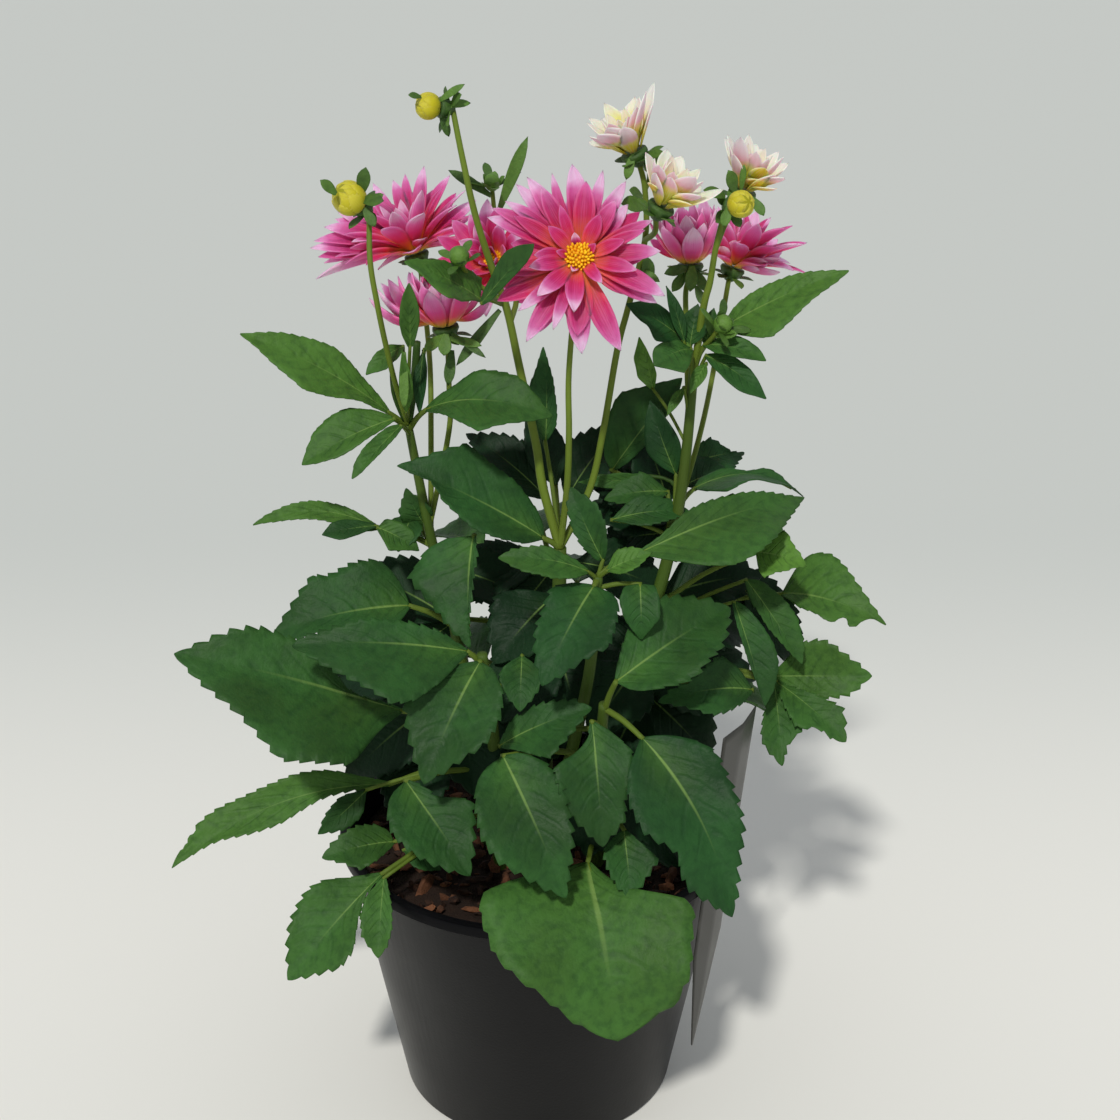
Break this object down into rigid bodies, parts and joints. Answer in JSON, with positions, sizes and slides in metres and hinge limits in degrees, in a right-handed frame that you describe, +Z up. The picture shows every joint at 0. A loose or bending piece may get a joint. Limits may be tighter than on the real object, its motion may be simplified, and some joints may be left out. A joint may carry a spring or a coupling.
{
  "type": "potted dahlia",
  "caption": "Dahlia in a round tapered plastic nursery pot, with toothed leaves, pointed pink layered blooms, half-open cream flowers and yellow buds.",
  "frame": {"origin": "centre of the pot's underside", "axes": "+Z up along the pot's axis, -Y towards the side that the main bloom faces"},
  "size_m": [0.3971, 0.333, 0.5908],
  "materials": {
    "pot_plastic": "satin dark grey plastic",
    "potting_soil": "brown bark and peat",
    "label_plastic": "thin pale plastic",
    "greenery": "mid-green leaves with paler veins and stems",
    "pink_petals": "pink petals, paler at their tips and red at the throat",
    "cream_petals": "cream petals with pink outer ones and a yellow base",
    "yellow_disc": "yellow to orange florets",
    "yellow_bud": "greenish yellow folded petals"
  },
  "bodies": {
    "root": {"pot": "pot_plastic", "soil": "potting_soil", "label": "label_plastic", "stem_left": "greenery", "stem_centre": "greenery", "stem_right": "greenery", "stem_front": "greenery", "stem_low_left": "greenery", "stem_low_right": "greenery", "stem_back": "greenery", "petals_main": "pink_petals", "disc_main": "yellow_disc", "petals_left": "pink_petals", "disc_left": "yellow_disc", "petals_behind": "pink_petals", "disc_behind": "yellow_disc", "petals_low_left": "pink_petals", "disc_low_left": "yellow_disc", "petals_right": "pink_petals", "disc_right": "yellow_disc", "petals_far_right": "pink_petals", "disc_far_right": "yellow_disc", "opening_high": "cream_petals", "opening_mid": "cream_petals", "opening_right": "cream_petals", "bud_high": "yellow_bud", "bud_left": "yellow_bud", "bud_right": "yellow_bud"}
  },
  "joints": []
}
